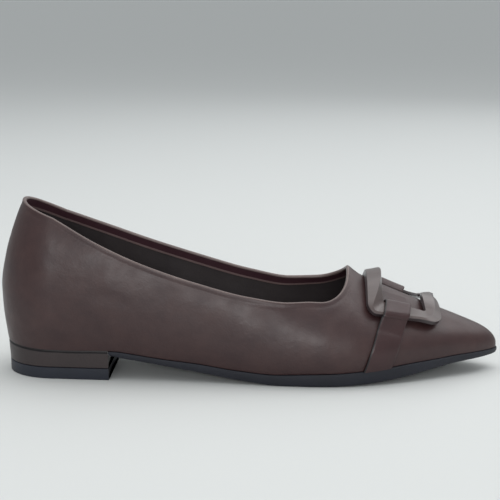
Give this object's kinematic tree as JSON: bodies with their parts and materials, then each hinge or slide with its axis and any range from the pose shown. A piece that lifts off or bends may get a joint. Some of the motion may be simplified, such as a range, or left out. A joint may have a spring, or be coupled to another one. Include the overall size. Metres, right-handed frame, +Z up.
{
  "type": "pointed flat shoe",
  "caption": "Women's right slip-on flat with a pointed toe, low covered heel, open collar and a saddle-shaped link ring held on the vamp by side straps.",
  "frame": {"origin": "middle of the heel's flat foot, on the floor", "axes": "+X towards the toe, +Y towards the medial side of this right shoe, +Z up"},
  "size_m": [0.2526, 0.079, 0.0877],
  "materials": {
    "upper_leather": "smooth burgundy-brown leather with a low sheen",
    "lining": "matt black leather lining",
    "sole": "matt black rubber with a fine grain",
    "top_lift": "matt black rubber",
    "ring": "lacquered, faceted and glossy, dark brown"
  },
  "bodies": {
    "root": {"upper": "upper_leather", "insole": "lining", "outsole": "sole", "heel_block": "upper_leather", "top_lift": "top_lift", "buckle_ring": "ring", "strap_lateral": "upper_leather", "strap_medial": "upper_leather"}
  },
  "joints": []
}
